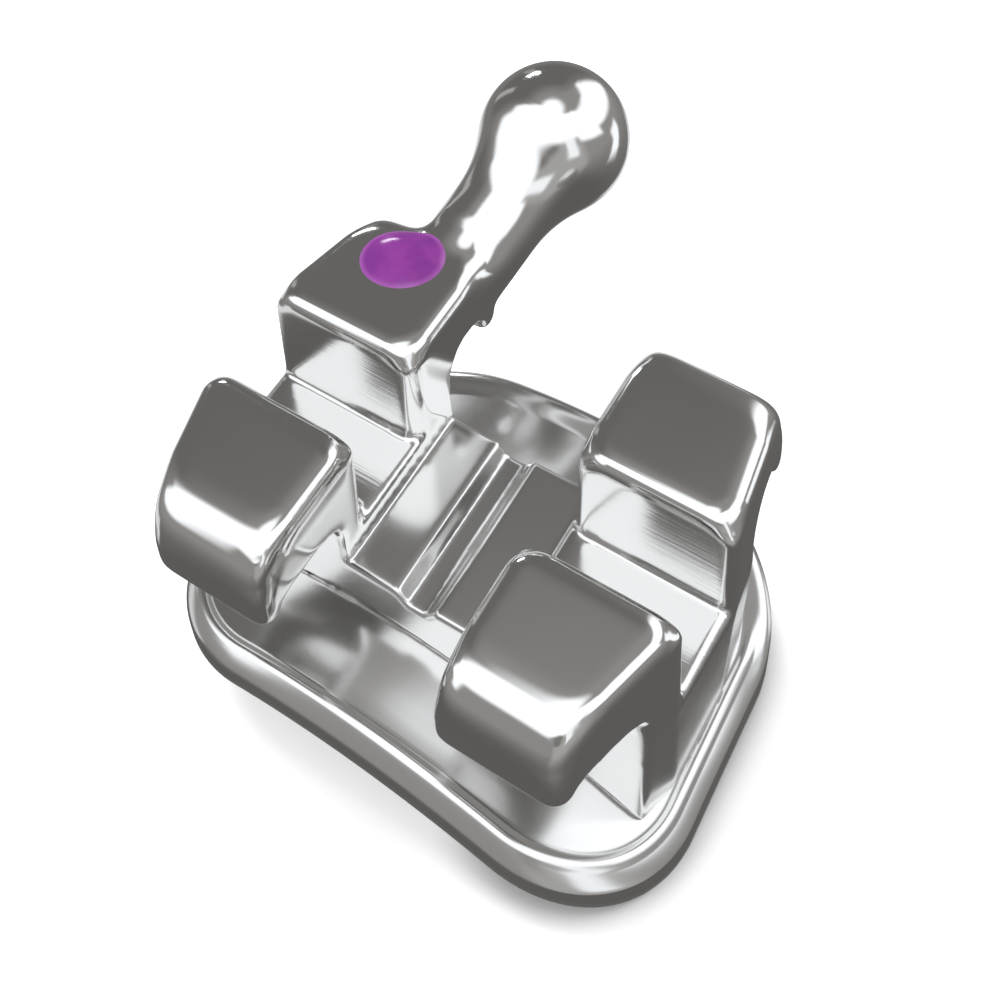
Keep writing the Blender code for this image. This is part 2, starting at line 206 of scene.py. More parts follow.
def tumbled_polish_group():
    """Height of the furnace waves and roughness of the haze, from the part's own coordinates."""
    group, entry, result = new_group(
        "tumbled polish",
        [("Wave size in mm", "NodeSocketFloat", 0.5), ("Wave height in mm", "NodeSocketFloat", 0.004),
         ("Haze", "NodeSocketFloat", 0.08), ("Haze spread", "NodeSocketFloat", 0.05)],
        [("Roughness", "NodeSocketFloat"), ("Height in mm", "NodeSocketFloat")])
    place = place_node(group, "ShaderNodeTexCoord")
    in_mm = place_node(group, "ShaderNodeVectorMath", operation="SCALE")
    group.links.new(place.outputs["Object"], in_mm.inputs[0])
    in_mm.inputs["Scale"].default_value = 1 / MM
    waves = place_node(group, "ShaderNodeTexNoise", label="furnace waves")
    group.links.new(in_mm.outputs[0], waves.inputs["Vector"])
    feed(group, waves.inputs["Scale"], maths(group, "DIVIDE", 1.0, entry.outputs["Wave size in mm"]))
    waves.inputs["Detail"].default_value, waves.inputs["Roughness"].default_value = WAVE_DETAIL
    height = maths(group, "MULTIPLY", waves.outputs["Fac"], entry.outputs["Wave height in mm"])
    feed(group, result.inputs["Height in mm"], height)
    haze = place_node(group, "ShaderNodeTexNoise", label="uneven shine")
    group.links.new(in_mm.outputs[0], haze.inputs["Vector"])
    haze.inputs["Scale"].default_value = SHINE_PATCHES
    haze.inputs["Detail"].default_value = SHINE_DETAIL
    centred = maths(group, "SUBTRACT", haze.outputs["Fac"], 0.5)
    spread = maths(group, "MULTIPLY", centred, entry.outputs["Haze spread"])
    feed(group, result.inputs["Roughness"], maths(group, "ADD", entry.outputs["Haze"], spread))
    return group


TUMBLED_POLISH = tumbled_polish_group()
print("group:", TUMBLED_POLISH.name)

# %% [markdown]
# ## Steel
# The metal's base colour is a light neutral grey: polished stainless steel. The same steel is not
# equally bright everywhere. The archwire slot is milled after casting, so its walls and floor are
# satin with fine lines along the cut, and the web between the wings lies too deep for the tumbling
# media to polish it fully. A mask from the part's own coordinates says where each finish begins.
# Bump takes its height in scene units times its distance, so a distance of one millimetre lets
# every height below be given in millimetres.

# %% Steel of the body
STEEL_COLOUR = (0.83, 0.83, 0.82)
SLOT_HALF_WIDTH = abs(mounts["slot_wall_gingival"]["pos_m"][1]) / MM
SLOT_DEPTH = 0.68
# The milled finish fades over these heights: under the slot's rim, over its floor, beside its walls
MILLED_UNDER_RIM = (SLOT_DEPTH - 0.05, SLOT_DEPTH - 0.16)
MILLED_OVER_FLOOR = (-0.06, -0.02)
MILLED_BESIDE_WALL = 0.03
MILLED_ROUGHNESS = 0.15
# Milling lines per millimetre, drawn out along the slot, and their depth
LINES_PER_MM = 60.0
LINES_STRETCH = (0.04, 1.0, 1.0)
LINES_DEPTH = 0.0006
# Below this height the tumbling media hardly polish
DEEP_FROM_TO = (-0.03, -0.10)
DEEP_ROUGHNESS = 0.17


def new_material(name):
    """A material with its shader; returns the material, its tree and the shader."""
    material = bpy.data.materials.new(name)
    material.use_nodes = True
    tree = material.node_tree
    return material, tree, tree.nodes["Principled BSDF"]


def place_in_mm(tree):
    """Object coordinates in millimetres: the vector and its three parts, height from the slot floor."""
    place = place_node(tree, "ShaderNodeTexCoord")
    in_mm = place_node(tree, "ShaderNodeVectorMath", operation="SCALE")
    tree.links.new(place.outputs["Object"], in_mm.inputs[0])
    in_mm.inputs["Scale"].default_value = 1 / MM
    split = place_node(tree, "ShaderNodeSeparateXYZ")
    tree.links.new(in_mm.outputs[0], split.inputs[0])
    height = maths(tree, "SUBTRACT", split.outputs["Z"], SLOT_FLOOR_Z / MM)
    return in_mm.outputs[0], split.outputs["X"], split.outputs["Y"], height


def fine_grain(tree, place, scale, stretch=(1.0, 1.0, 1.0)):
    """Noise of the given scale per millimetre, stretched along an axis by a small number."""
    longer = place_node(tree, "ShaderNodeVectorMath", operation="MULTIPLY")
    tree.links.new(place, longer.inputs[0])
    longer.inputs[1].default_value = stretch
    noise = place_node(tree, "ShaderNodeTexNoise")
    tree.links.new(longer.outputs[0], noise.inputs["Vector"])
    noise.inputs["Scale"].default_value = scale
    noise.inputs["Detail"].default_value = 2.0
    return noise.outputs["Fac"]


def surface_from(tree, shader, height_in_mm, roughness):
    """Feed a height and a roughness to the shader."""
    bump = place_node(tree, "ShaderNodeBump")
    bump.inputs["Distance"].default_value = MM
    feed(tree, bump.inputs["Height"], height_in_mm)
    feed(tree, shader.inputs["Normal"], bump.outputs["Normal"])
    feed(tree, shader.inputs["Roughness"], roughness)


def mixed(tree, mask, first, second):
    """Blend of two values by a mask."""
    node = place_node(tree, "ShaderNodeMix")
    for name, value in (("Factor", mask), ("A", first), ("B", second)):
        feed(tree, node.inputs[name], value)
    return node.outputs["Result"]


def body_steel():
    """Tumbled outside, milled in the slot, duller in the deep web."""
    material, tree, shader = new_material("polished steel")
    shader.inputs["Base Color"].default_value = (*STEEL_COLOUR, 1.0)
    shader.inputs["Metallic"].default_value = 1.0
    polish = use_group(tree, TUMBLED_POLISH, Wave_size_in_mm=0.6, Wave_height_in_mm=0.003, Haze=0.10,
                       Haze_spread=0.05)
    place, x, y, height = place_in_mm(tree)
    beside_wall = SLOT_HALF_WIDTH + MILLED_BESIDE_WALL
    between_walls = ramp(tree, maths(tree, "ABSOLUTE", y), beside_wall, SLOT_HALF_WIDTH)
    under_rim = ramp(tree, height, *MILLED_UNDER_RIM)
    over_floor = ramp(tree, height, *MILLED_OVER_FLOOR)
    milled = maths(tree, "MULTIPLY", maths(tree, "MULTIPLY", between_walls, under_rim), over_floor)
    deep = ramp(tree, height, *DEEP_FROM_TO)
    lines = fine_grain(tree, place, LINES_PER_MM, LINES_STRETCH)
    cut = maths(tree, "MULTIPLY", maths(tree, "MULTIPLY", lines, milled), LINES_DEPTH)
    roughness = mixed(tree, deep, polish.outputs["Roughness"], DEEP_ROUGHNESS)
    roughness = mixed(tree, milled, roughness, MILLED_ROUGHNESS)
    surface_from(tree, shader, maths(tree, "ADD", polish.outputs["Height in mm"], cut), roughness)
    return material


BODY_STEEL = body_steel()
print("material:", BODY_STEEL.name)

# %% [markdown]
# ## Steel of the pad
# The pad's outer side is tumbled like the body. Its tooth side is blasted with fine grit instead,
# because adhesive holds on a matt surface, and a technician can tell the two sides apart by eye.
# The pad is curved, so the mask compares a point's height with the pad's own curved surface.

# %% Pad steel
PAD_TOP_Z = -0.477
PAD_THICKNESS = 0.196
PAD_CREST_X = -0.35
PAD_RADIUS_X = 4.4
PAD_RADIUS_Y = 14.0
# Heights from the pad's outer surface between which the blasted finish begins
BLASTED_FROM_TO = (-0.10, -0.16)
BLASTED_ROUGHNESS = 0.42
GRIT_PER_MM = 45.0
GRIT_DEPTH = 0.006


def pad_steel():
    """Tumbled on the outer side, blasted on the tooth side."""
    material, tree, shader = new_material("pad steel")
    shader.inputs["Base Color"].default_value = (*STEEL_COLOUR, 1.0)
    shader.inputs["Metallic"].default_value = 1.0
    polish = use_group(tree, TUMBLED_POLISH, Wave_size_in_mm=0.5, Wave_height_in_mm=0.006, Haze=0.18,
                       Haze_spread=0.06)
    place, x, y, height = place_in_mm(tree)
    across = maths(tree, "POWER", maths(tree, "SUBTRACT", x, PAD_CREST_X), 2.0)
    fall = maths(tree, "ADD", maths(tree, "DIVIDE", across, 2 * PAD_RADIUS_X),
                 maths(tree, "DIVIDE", maths(tree, "POWER", y, 2.0), 2 * PAD_RADIUS_Y))
    over_surface = maths(tree, "SUBTRACT", maths(tree, "ADD", height, fall), PAD_TOP_Z)
    blasted = ramp(tree, over_surface, *BLASTED_FROM_TO)
    grit = fine_grain(tree, place, GRIT_PER_MM)
    pits = maths(tree, "MULTIPLY", maths(tree, "MULTIPLY", grit, blasted), GRIT_DEPTH)
    roughness = mixed(tree, blasted, polish.outputs["Roughness"], BLASTED_ROUGHNESS)
    surface_from(tree, shader, maths(tree, "ADD", polish.outputs["Height in mm"], pits), roughness)
    return material


PAD_STEEL = pad_steel()
print("material:", PAD_STEEL.name)

# %% [markdown]
# ## Enamel
# The dot marks which tooth the bracket belongs to and which way up it goes. It is a drop of
# coloured lacquer or enamel, baked so that it stays glossy in the mouth. The colour is full in the
# middle and a little lighter towards the rim, where the layer is thin and the steel shows through.

# %% Enamel
DOT_CENTRE = (-1.11, 0.915)
DOT_RADIUS = 0.25
# Two shades of the full colour, and the lighter one of the thin rim
FULL_PURPLE = ((0.225, 0.036, 0.285, 1.0), (0.285, 0.045, 0.325, 1.0))
RIM_PURPLE = (0.36, 0.095, 0.41, 1.0)
RIM_FROM = DOT_RADIUS * 0.84
CLOUDS_PER_MM = 6.0
CLOUD_EDGE = (0.35, 0.65)
CLOUD_HEIGHT = 0.0006
ENAMEL_ROUGHNESS = (0.09, 0.14)
GLASS_IOR = 1.52


def enamel():
    """Glossy purple, slightly clouded, lighter at the rim."""
    material, tree, shader = new_material("purple enamel")
    place, x, y, height = place_in_mm(tree)
    away_x = maths(tree, "POWER", maths(tree, "SUBTRACT", x, DOT_CENTRE[0]), 2.0)
    away_y = maths(tree, "POWER", maths(tree, "SUBTRACT", y, DOT_CENTRE[1]), 2.0)
    away = maths(tree, "SQRT", maths(tree, "ADD", away_x, away_y))
    rim = ramp(tree, away, RIM_FROM, DOT_RADIUS)
    cloud = ramp(tree, fine_grain(tree, place, CLOUDS_PER_MM), *CLOUD_EDGE)
    inner = blend_colours(tree, cloud, *FULL_PURPLE)
    feed(tree, shader.inputs["Base Color"], blend_colours(tree, rim, inner, RIM_PURPLE))
    shader.inputs["IOR"].default_value = GLASS_IOR
    roughness = mixed(tree, cloud, *ENAMEL_ROUGHNESS)
    surface_from(tree, shader, maths(tree, "MULTIPLY", cloud, CLOUD_HEIGHT), roughness)
    return material


ENAMEL = enamel()
print("material:", ENAMEL.name)

# %% [markdown]
# ## The cast body
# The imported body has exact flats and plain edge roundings. The real one has been tumbled: the
# media reach the wings and the ball, where they melt every corner, and hardly reach the slot and
# the web between the wings, which stay crisp. A bevel can't do that, because it is as wide in a
# recess as outside. So the body is rebuilt as an even skin of small squares and then relaxed,
# each point moving towards the middle of its neighbours, with its own share of the work.

# %% Even skin over a CAD node
SKIN_CELL = 0.014
SAME_POINT = 0.0001 * MM
# The dot's recess: how far beyond the dot and how deep under the wing's top its points are looked for
RECESS_REACH = DOT_RADIUS * 1.05
RECESS_DEPTH = 0.1


def merged_copy(node_name):
    """The node's triangles as one closed mesh, in millimetres while it is worked on."""
    bm = bmesh.new()
    bm.from_mesh(frame["nodes"][node_name].data)
    bmesh.ops.remove_doubles(bm, verts=bm.verts, dist=SAME_POINT)
    mesh = bpy.data.meshes.new(node_name + "_merged")
    bm.to_mesh(mesh)
    bm.free()
    mesh.transform(Matrix.Scale(1 / MM, 4))
    return mesh


def fill_dot_recess(mesh):
    """The enamel fills its recess to the brim, so the steel under it needs no pit."""
    top = SLOT_FLOOR_Z / MM + SLOT_DEPTH
    for vert in mesh.vertices:
        near = math.hypot(vert.co.x - DOT_CENTRE[0], vert.co.y - DOT_CENTRE[1]) < RECESS_REACH
        if near and top - RECESS_DEPTH < vert.co.z < top:
            vert.co.z = top


def applied(piece, name):
    """The piece's evaluated mesh under a new name; the piece itself is removed."""
    graph = bpy.context.evaluated_depsgraph_get()
    mesh = bpy.data.meshes.new_from_object(piece.evaluated_get(graph))
    mesh.name = name
    bpy.data.objects.remove(piece, do_unlink=True)
    return mesh


def shown(name, mesh):
    """A new object in the scene for the mesh."""
    piece = bpy.data.objects.new(name, mesh)
    bpy.context.scene.collection.objects.link(piece)
    return piece


def even_skin(node_name):
    """The node's surface made anew from small even squares."""
    mesh = merged_copy(node_name)
    fill_dot_recess(mesh)
    piece = shown("skin", mesh)
    cells = piece.modifiers.new("even cells", "REMESH")
    cells.mode = "VOXEL"
    cells.voxel_size = SKIN_CELL
    return applied(piece, node_name + "_skin")


body_skin = even_skin("bracket_body")
print("skin has", len(body_skin.polygons), "cells")

# %% Where tumbling reaches
# Edge roundings in millimetres, from the sheltered slot and web to the ends of the wings
RECESS_ROUNDING = 0.018
OPEN_ROUNDING = 0.036
TIP_ROUNDING = 0.085
LEG_ROUNDING = 0.028
INNER_WALL_ROUNDING = 0.026
CORNER_ROUNDING = 0.095
CORNER_REACH = 0.32
LONG_AXIS_TILT = math.radians(8.8)
# Between which heights, or distances from the middle, each rounding comes in, in millimetres
OUT_OF_SLOT = (0.0, 0.06)
OVER_WEB = (-0.10, 0.08)
NEAR_TOP = (SLOT_DEPTH - 0.20, SLOT_DEPTH - 0.06)
ALONG_HOOK = (1.25, 1.45)
OVER_PAD = (-0.42, -0.26)
TO_OUTER_SIDE = (0.7, 0.9)
INNER_WALL = (0.44, 0.54, 0.70, 0.80)
TO_TIP = (0.75, 1.10)
UP_TO_TIP = (0.20, 0.45)
# Corners of the wing tops, seen from the front: across and along the crown's long axis
WING_CORNERS = [(-1.54, -0.33), (-1.36, -1.22), (-0.54, -1.22), (-0.54, -0.33),
                (-1.55, 0.33), (-1.38, 1.22), (-0.54, 1.22), (-0.54, 0.33),
                (0.60, -0.33), (0.60, -1.22), (1.30, -1.22), (1.55, -0.33),
                (0.60, 0.33), (0.60, 1.22), (1.42, 1.22), (1.55, 0.33)]


def smooth_step(value, low, high):
    """Rises softly from 0 at the low value to 1 at the high one."""
    share = np.clip((value - low) / (high - low), 0.0, 1.0)
    return share * share * (3 - 2 * share)


def tumbling_reach(points):
    """The rounding that tumbling gives each point of the body, all in millimetres."""
    x, y, z = points[:, 0], points[:, 1], points[:, 2] - SLOT_FLOOR_Z / MM
    outside_slot = smooth_step(np.abs(y) - SLOT_HALF_WIDTH, *OUT_OF_SLOT)
    over_web = smooth_step(z, *OVER_WEB)
    top = smooth_step(z, *NEAR_TOP)
    hook = smooth_step(y, *ALONG_HOOK)
    open_share = np.maximum(np.maximum(outside_slot * over_web, top), hook)
    rounding = RECESS_ROUNDING + (OPEN_ROUNDING - RECESS_ROUNDING) * open_share
    from_middle = np.abs(x + y * math.tan(LONG_AXIS_TILT))
    leg = smooth_step(z, *OVER_PAD) * smooth_step(from_middle, *TO_OUTER_SIDE)
    rounding = np.maximum(rounding, LEG_ROUNDING * leg * outside_slot)
    inner_wall = smooth_step(from_middle, *INNER_WALL[:2]) * (1 - smooth_step(from_middle, *INNER_WALL[2:]))
    rounding = np.maximum(rounding, INNER_WALL_ROUNDING * inner_wall)
    tip = smooth_step(np.abs(y), *TO_TIP) * smooth_step(z, *UP_TO_TIP) * (1 - hook)
    rounding = np.maximum(rounding, TIP_ROUNDING * tip)
    for along_u, along_v in WING_CORNERS:
        corner_x = along_u - along_v * math.tan(LONG_AXIS_TILT)
        away = np.hypot(x - corner_x, y - along_v)
        near = (1 - smooth_step(away, 0.0, CORNER_REACH)) * top
        rounding = np.maximum(rounding, CORNER_ROUNDING * near)
    return rounding


# %% Relax the skin


def neighbours(mesh):
    """Both ends of every edge, each edge taken in both directions."""
    ends = np.zeros(len(mesh.edges) * 2, np.int64)
    mesh.edges.foreach_get("vertices", ends)
    first, second = ends[0::2], ends[1::2]
    return np.concatenate((first, second)), np.concatenate((second, first))


def relax(mesh, rounding_of):
    """Move each point towards its neighbours' middle until its rounding is reached."""
    here, there = neighbours(mesh)
    count = len(mesh.vertices)
    valence = np.bincount(here, minlength=count)
    points = np.zeros(count * 3)
    mesh.vertices.foreach_get("co", points)
    points = points.reshape(-1, 3)
    # One full step spreads a point by half a cell, so the rounding grows with the root of the steps
    steps = (rounding_of(points) / (0.5 * SKIN_CELL)) ** 2
    for step in range(int(math.ceil(steps.max()))):
        share = 0.5 * np.clip(steps - step, 0.0, 1.0)[:, None]
        middle = np.stack([np.bincount(here, points[there, axis], count) for axis in range(3)], axis=1)
        points = points + share * (middle / valence[:, None] - points)
    mesh.vertices.foreach_set("co", points.ravel())
    mesh.update()
    return int(steps.max())


print("relaxed in", relax(body_skin, tumbling_reach), "steps")

# %% Finish the body
BODY_TRIANGLES = 190000


def finished_piece(name, mesh, material, node_name):
    """Thin the mesh where it is flat, shade it and let it stand for its node."""
    triangles = sum(len(face.vertices) - 2 for face in mesh.polygons)
    if triangles > BODY_TRIANGLES:
        rough = shown("rough", mesh)
        thin = rough.modifiers.new("fewer on the flats", "DECIMATE")
        thin.ratio = BODY_TRIANGLES / triangles
        mesh = applied(rough, name)
    mesh.name = name
    mesh.transform(Matrix.Scale(MM, 4))
    mesh.shade_smooth()
    mesh.materials.clear()
    mesh.materials.append(material)
    piece = shown(name, mesh)
    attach(piece, "root")
    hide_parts(node_name)
    print(name, "has", len(mesh.polygons), "faces")
    return piece


body = finished_piece("polished_body", body_skin, BODY_STEEL, "bracket_body")

# %% [markdown]
# ## The bonding pad
# The pad is a thin plate, bent both ways to the crown, with a flat roll along its rim. Its outline
# is a rhomboid that leans with the tooth's long axis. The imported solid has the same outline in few
# steps, which would show as kinks in the reflections of the rim, so the same loft is drawn again
# here with many more: rings of points are carried from the tooth side, up the edge, over the roll
# and towards the middle.

# %% Outline of the pad
# Corners before rounding: across, along the crown's long axis, corner radius, in millimetres
PAD_CORNERS = [(1.76, -1.28, 0.88), (1.72, 1.58, 0.97), (-1.68, 1.32, 1.35), (-1.68, -1.28, 0.74)]
CORNER_STEPS = 30
STRAIGHT_STEPS = 16


def lean(y):
    """Sideways shift, at height y, of what follows the crown's long axis."""
    return -y * math.tan(LONG_AXIS_TILT)


def arc(centre, radius, start, end, steps):
    """Points along a part of a circle."""
    angles = [start + (end - start) * i / steps for i in range(steps + 1)]
    return [(centre[0] + radius * math.cos(a), centre[1] + radius * math.sin(a)) for a in angles]


def pad_outline(inset):
    """The rounded rhomboid, moved inwards by the given distance."""
    bows = []
    for i, (u, v, radius) in enumerate(PAD_CORNERS):
        here = Vector((u, v))
        before = (Vector(PAD_CORNERS[i - 1][:2]) - here).normalized()
        after = (Vector(PAD_CORNERS[(i + 1) % len(PAD_CORNERS)][:2]) - here).normalized()
        half_angle = before.angle(after) / 2
        centre = here + (before + after).normalized() * (radius / math.sin(half_angle))
        start = math.atan2(before.x, -before.y)
        bows.append(arc(centre, radius - inset, start, start + math.pi - 2 * half_angle, CORNER_STEPS))
    points = []
    for bow, following in zip(bows, bows[1:] + bows[:1]):
        points += bow
        first, last = Vector(bow[-1]), Vector(following[0])
        points += [tuple(first.lerp(last, i / STRAIGHT_STEPS)) for i in range(1, STRAIGHT_STEPS)]
    return [(u + lean(v), v) for u, v in points]


print("outline has", len(pad_outline(0.0)), "points")

# %% Section of the rim
TOOTH_SIDE_ROUNDING = 0.03
# Inset from the outline and height over the pad's surface: up the side, over the flat roll, down
FLANK_TOP = 0.016
FLANK_ANGLE = math.radians(47)
# At the gum side the roll fades into a low lip: from which to which direction, and the lip's height
GUM_SIDE = (0.1, 0.6)
LIP_HEIGHT = 0.030
# Insets between which the lip rises from the edge and falls to the pad's surface
LIP_RISE = (-0.03, 0.04)
LIP_FALL = (0.05, 0.215)
EDGE_STEPS = 5
ROLL_STEPS = 4
RIM_ROLL = [(0.0, -0.115), (0.003, -0.090), (0.018, -0.058), (0.050, -0.018), (0.084, 0.016),
            (0.108, 0.029), (0.132, 0.032), (0.156, 0.021), (0.182, 0.005), (0.215, 0.0)]


def smooth_line(points, steps):
    """Points along a curve that passes through every given point."""
    padded = [points[0]] + list(points) + [points[-1]]
    curve = []
    for before, first, last, after in zip(padded, padded[1:], padded[2:], padded[3:]):
        for i in range(steps):
            t = i / steps
            weights = (-t ** 3 + 2 * t * t - t, 3 * t ** 3 - 5 * t * t + 2,
                       -3 * t ** 3 + 4 * t * t + t, t ** 3 - t * t)
            four = (before, first, last, after)
            curve.append(tuple(sum(w * p[k] for w, p in zip(weights, four)) / 2 for k in (0, 1)))
    return curve + [points[-1]]


def rim_section():
    """Insets from the outline and heights over the pad's surface, from the tooth side to the top."""
    low = arc((TOOTH_SIDE_ROUNDING, TOOTH_SIDE_ROUNDING - PAD_THICKNESS), TOOTH_SIDE_ROUNDING,
              -math.pi / 2, -math.pi, EDGE_STEPS)
    return low + smooth_line(RIM_ROLL, ROLL_STEPS)


def rim_manner(outline):
    """At each point of the outline: how much of the flank is cut, and how far the rim is a low lip."""
    manner = []
    for (x0, y0), (x, y), (x1, y1) in zip(outline[-1:] + outline[:-1], outline, outline[1:] + outline[:1]):
        out = Vector((y1 - y0, x0 - x1)).normalized()
        fall = max(out.x * (x - PAD_CREST_X) / PAD_RADIUS_X + out.y * y / PAD_RADIUS_Y, 0.0)
        flank = math.tan(FLANK_ANGLE - math.atan(fall)) / math.tan(FLANK_ANGLE)
        manner.append((flank, float(smooth_step(out.y, *GUM_SIDE))))
    return manner


def rim_height(inset, height, flank, lip):
    """Height of the rim over the pad's surface, between the rolled rim and the gum side's lip."""
    if height < FLANK_TOP:
        height = FLANK_TOP + (height - FLANK_TOP) * flank
    low_lip = LIP_HEIGHT * float(smooth_step(inset, *LIP_RISE) - smooth_step(inset, *LIP_FALL))
    return height * (1 - lip) + low_lip * lip


print("rim section has", len(rim_section()), "points")

# %% Loft of the plate
FIELD_RINGS = 12


def pad_surface_z(x, y):
    """The pad's outer surface from the slot floor, curved like the crown under it."""
    return PAD_TOP_Z - (x - PAD_CREST_X) ** 2 / (2 * PAD_RADIUS_X) - y * y / (2 * PAD_RADIUS_Y)


def plate_mesh():
    """The plate in millimetres: rings along the rim's section, closed by a field on each side."""
    bm = bmesh.new()

    # Where the pad itself falls outwards the flank is flatter against it, so that it leans 47 degrees
    manner = rim_manner(pad_outline(0.0))

    def ring(points, height, inset=None):
        verts = []
        for (x, y), (flank, lip) in zip(points, manner):
            own = height if inset is None else rim_height(inset, height, flank, lip)
            verts.append(bm.verts.new((x, y, SLOT_FLOOR_Z / MM + pad_surface_z(x, y) + own)))
        return verts

    def bridge(first, second):
        for a, b, c, d in zip(first, first[1:] + first[:1], second[1:] + second[:1], second):
            bm.faces.new((a, b, c, d))

    def field(rim, inset, height):
        for step in range(FIELD_RINGS - 1, 0, -1):
            share = step / FIELD_RINGS
            inside = ring([(x * share, y * share) for x, y in pad_outline(inset)], height)
            bridge(rim, inside)
            rim = inside
        centre = ring([(0.0, 0.0)], height)[0]
        for a, b in zip(rim, rim[1:] + rim[:1]):
            bm.faces.new((a, b, centre))

    section = rim_section()
    rings = []
    for inset, height in section:
        in_roll = height > RIM_ROLL[0][1] - 0.001
        rings.append(ring(pad_outline(inset), height, inset if in_roll else None))
    for first, second in zip(rings, rings[1:]):
        bridge(first, second)
    field(rings[-1], *section[-1])
    field(rings[0], *section[0])
    bmesh.ops.recalc_face_normals(bm, faces=bm.faces)
    mesh = bpy.data.meshes.new("pad_plate")
    bm.to_mesh(mesh)
    bm.free()
    return mesh


plate = shown("pad_plate", plate_mesh())
print("plate has", len(plate.data.polygons), "faces")

# %% [markdown]
# ## Adhesive pockets
# The tooth side holds a grid of square pockets that the adhesive locks into. A grid is a rule, so
# Geometry Nodes place it: points in rows that lean with the long axis, kept only where a plain
# margin is left, each carrying a small block, and all blocks taken out of the plate at once. The
# margin is a flat face with the same rounded outline, and a ray decides whether a point is on it.
# The part's list of pockets and this tree share the same sizes, so both have them at the same places.

# %% Tree for the pockets
POCKET_SIZE = 0.20
POCKET_PITCH = 0.32
POCKET_DEPTH = 0.07
POCKET_MARGIN = 0.285
POCKET_ROWS = 14
FAR_BELOW = 5.0


def add_sockets(tree, inputs, outputs):
    """Named inputs and outputs of a tree, each as (name, kind)."""
    for title, kind in inputs:
        tree.interface.new_socket(title, in_out="INPUT", socket_type="NodeSocket" + kind)
    for title, kind in outputs:
        tree.interface.new_socket(title, in_out="OUTPUT", socket_type="NodeSocket" + kind)


def joined(tree, x, y, z):
    """A vector from three values."""
    node = place_node(tree, "ShaderNodeCombineXYZ")
    for socket, value in zip(node.inputs, (x, y, z)):
        feed(tree, socket, value)
    return node.outputs[0]


def upward_ray(tree, target):
    """A ray from far below each point up to the target."""
    place = place_node(tree, "GeometryNodeInputPosition")
    start = place_node(tree, "ShaderNodeVectorMath", operation="SUBTRACT")
    feed(tree, start.inputs[0], place.outputs[0])
    start.inputs[1].default_value = (0.0, 0.0, FAR_BELOW)
    ray = place_node(tree, "GeometryNodeRaycast")
    feed(tree, ray.inputs["Target Geometry"], target)
    feed(tree, ray.inputs["Source Position"], start.outputs[0])
    ray.inputs["Ray Direction"].default_value = (0.0, 0.0, 1.0)
    ray.inputs["Ray Length"].default_value = 2 * FAR_BELOW
    return ray


def pocket_tree():
    """The tree that cuts the pockets; its inputs say where, how many and how large."""
    tree = bpy.data.node_groups.new("adhesive pockets", "GeometryNodeTree")
    add_sockets(tree, [("Plate", "Geometry"), ("Field", "Object"), ("Rows", "Int"), ("Pitch", "Float"),
                       ("Size", "Float"), ("Depth", "Float"), ("Lean", "Float"), ("Finish", "Material")],
                [("Plate", "Geometry")])
    given = tree.nodes.new("NodeGroupInput").outputs
    result = tree.nodes.new("NodeGroupOutput")
    span = maths(tree, "MULTIPLY", maths(tree, "SUBTRACT", given["Rows"], 1.0), given["Pitch"])
    grid = place_node(tree, "GeometryNodeMeshGrid")
    for name, value in (("Size X", span), ("Size Y", span), ("Vertices X", given["Rows"]),
                        ("Vertices Y", given["Rows"])):
        feed(tree, grid.inputs[name], value)
    split = place_node(tree, "ShaderNodeSeparateXYZ")
    feed(tree, split.inputs[0], place_node(tree, "GeometryNodeInputPosition").outputs[0])
    leaning = place_node(tree, "GeometryNodeSetPosition")
    feed(tree, leaning.inputs["Geometry"], grid.outputs["Mesh"])
    shift = maths(tree, "MULTIPLY", split.outputs["Y"], given["Lean"])
    feed(tree, leaning.inputs["Offset"], joined(tree, shift, 0.0, 0.0))
    field = place_node(tree, "GeometryNodeObjectInfo")
    feed(tree, field.inputs["Object"], given["Field"])
    on_field = upward_ray(tree, field.outputs["Geometry"])
    outside = place_node(tree, "FunctionNodeBooleanMath", operation="NOT")
    feed(tree, outside.inputs[0], on_field.outputs["Is Hit"])
    kept = place_node(tree, "GeometryNodeDeleteGeometry", domain="POINT")
    feed(tree, kept.inputs["Geometry"], leaning.outputs["Geometry"])
    feed(tree, kept.inputs["Selection"], outside.outputs[0])
    to_plate = upward_ray(tree, given["Plate"])
    seated = place_node(tree, "GeometryNodeSetPosition")
    feed(tree, seated.inputs["Geometry"], kept.outputs["Geometry"])
    feed(tree, seated.inputs["Position"], to_plate.outputs["Hit Position"])
    block = place_node(tree, "GeometryNodeMeshCube")
    tall = maths(tree, "MULTIPLY", given["Depth"], 2.0)
    feed(tree, block.inputs["Size"], joined(tree, given["Size"], given["Size"], tall))
    blocks = place_node(tree, "GeometryNodeInstanceOnPoints")
    feed(tree, blocks.inputs["Points"], seated.outputs["Geometry"])
    feed(tree, blocks.inputs["Instance"], block.outputs["Mesh"])
    solid_blocks = place_node(tree, "GeometryNodeRealizeInstances")
    feed(tree, solid_blocks.inputs[0], blocks.outputs[0])
    cut = place_node(tree, "GeometryNodeMeshBoolean", operation="DIFFERENCE", solver="EXACT")
    feed(tree, cut.inputs["Mesh 1"], given["Plate"])
    feed(tree, cut.inputs["Mesh 2"], solid_blocks.outputs[0])
    realized = place_node(tree, "GeometryNodeRealizeInstances")
    feed(tree, realized.inputs[0], cut.outputs["Mesh"])
    finish = place_node(tree, "GeometryNodeSetMaterial")
    feed(tree, finish.inputs["Geometry"], realized.outputs[0])
    feed(tree, finish.inputs["Material"], given["Finish"])
    feed(tree, result.inputs[0], finish.outputs[0])
    return tree


POCKET_TREE = pocket_tree()
print("tree:", POCKET_TREE.name, "with", len(POCKET_TREE.nodes), "nodes")

# %% Cut the pockets


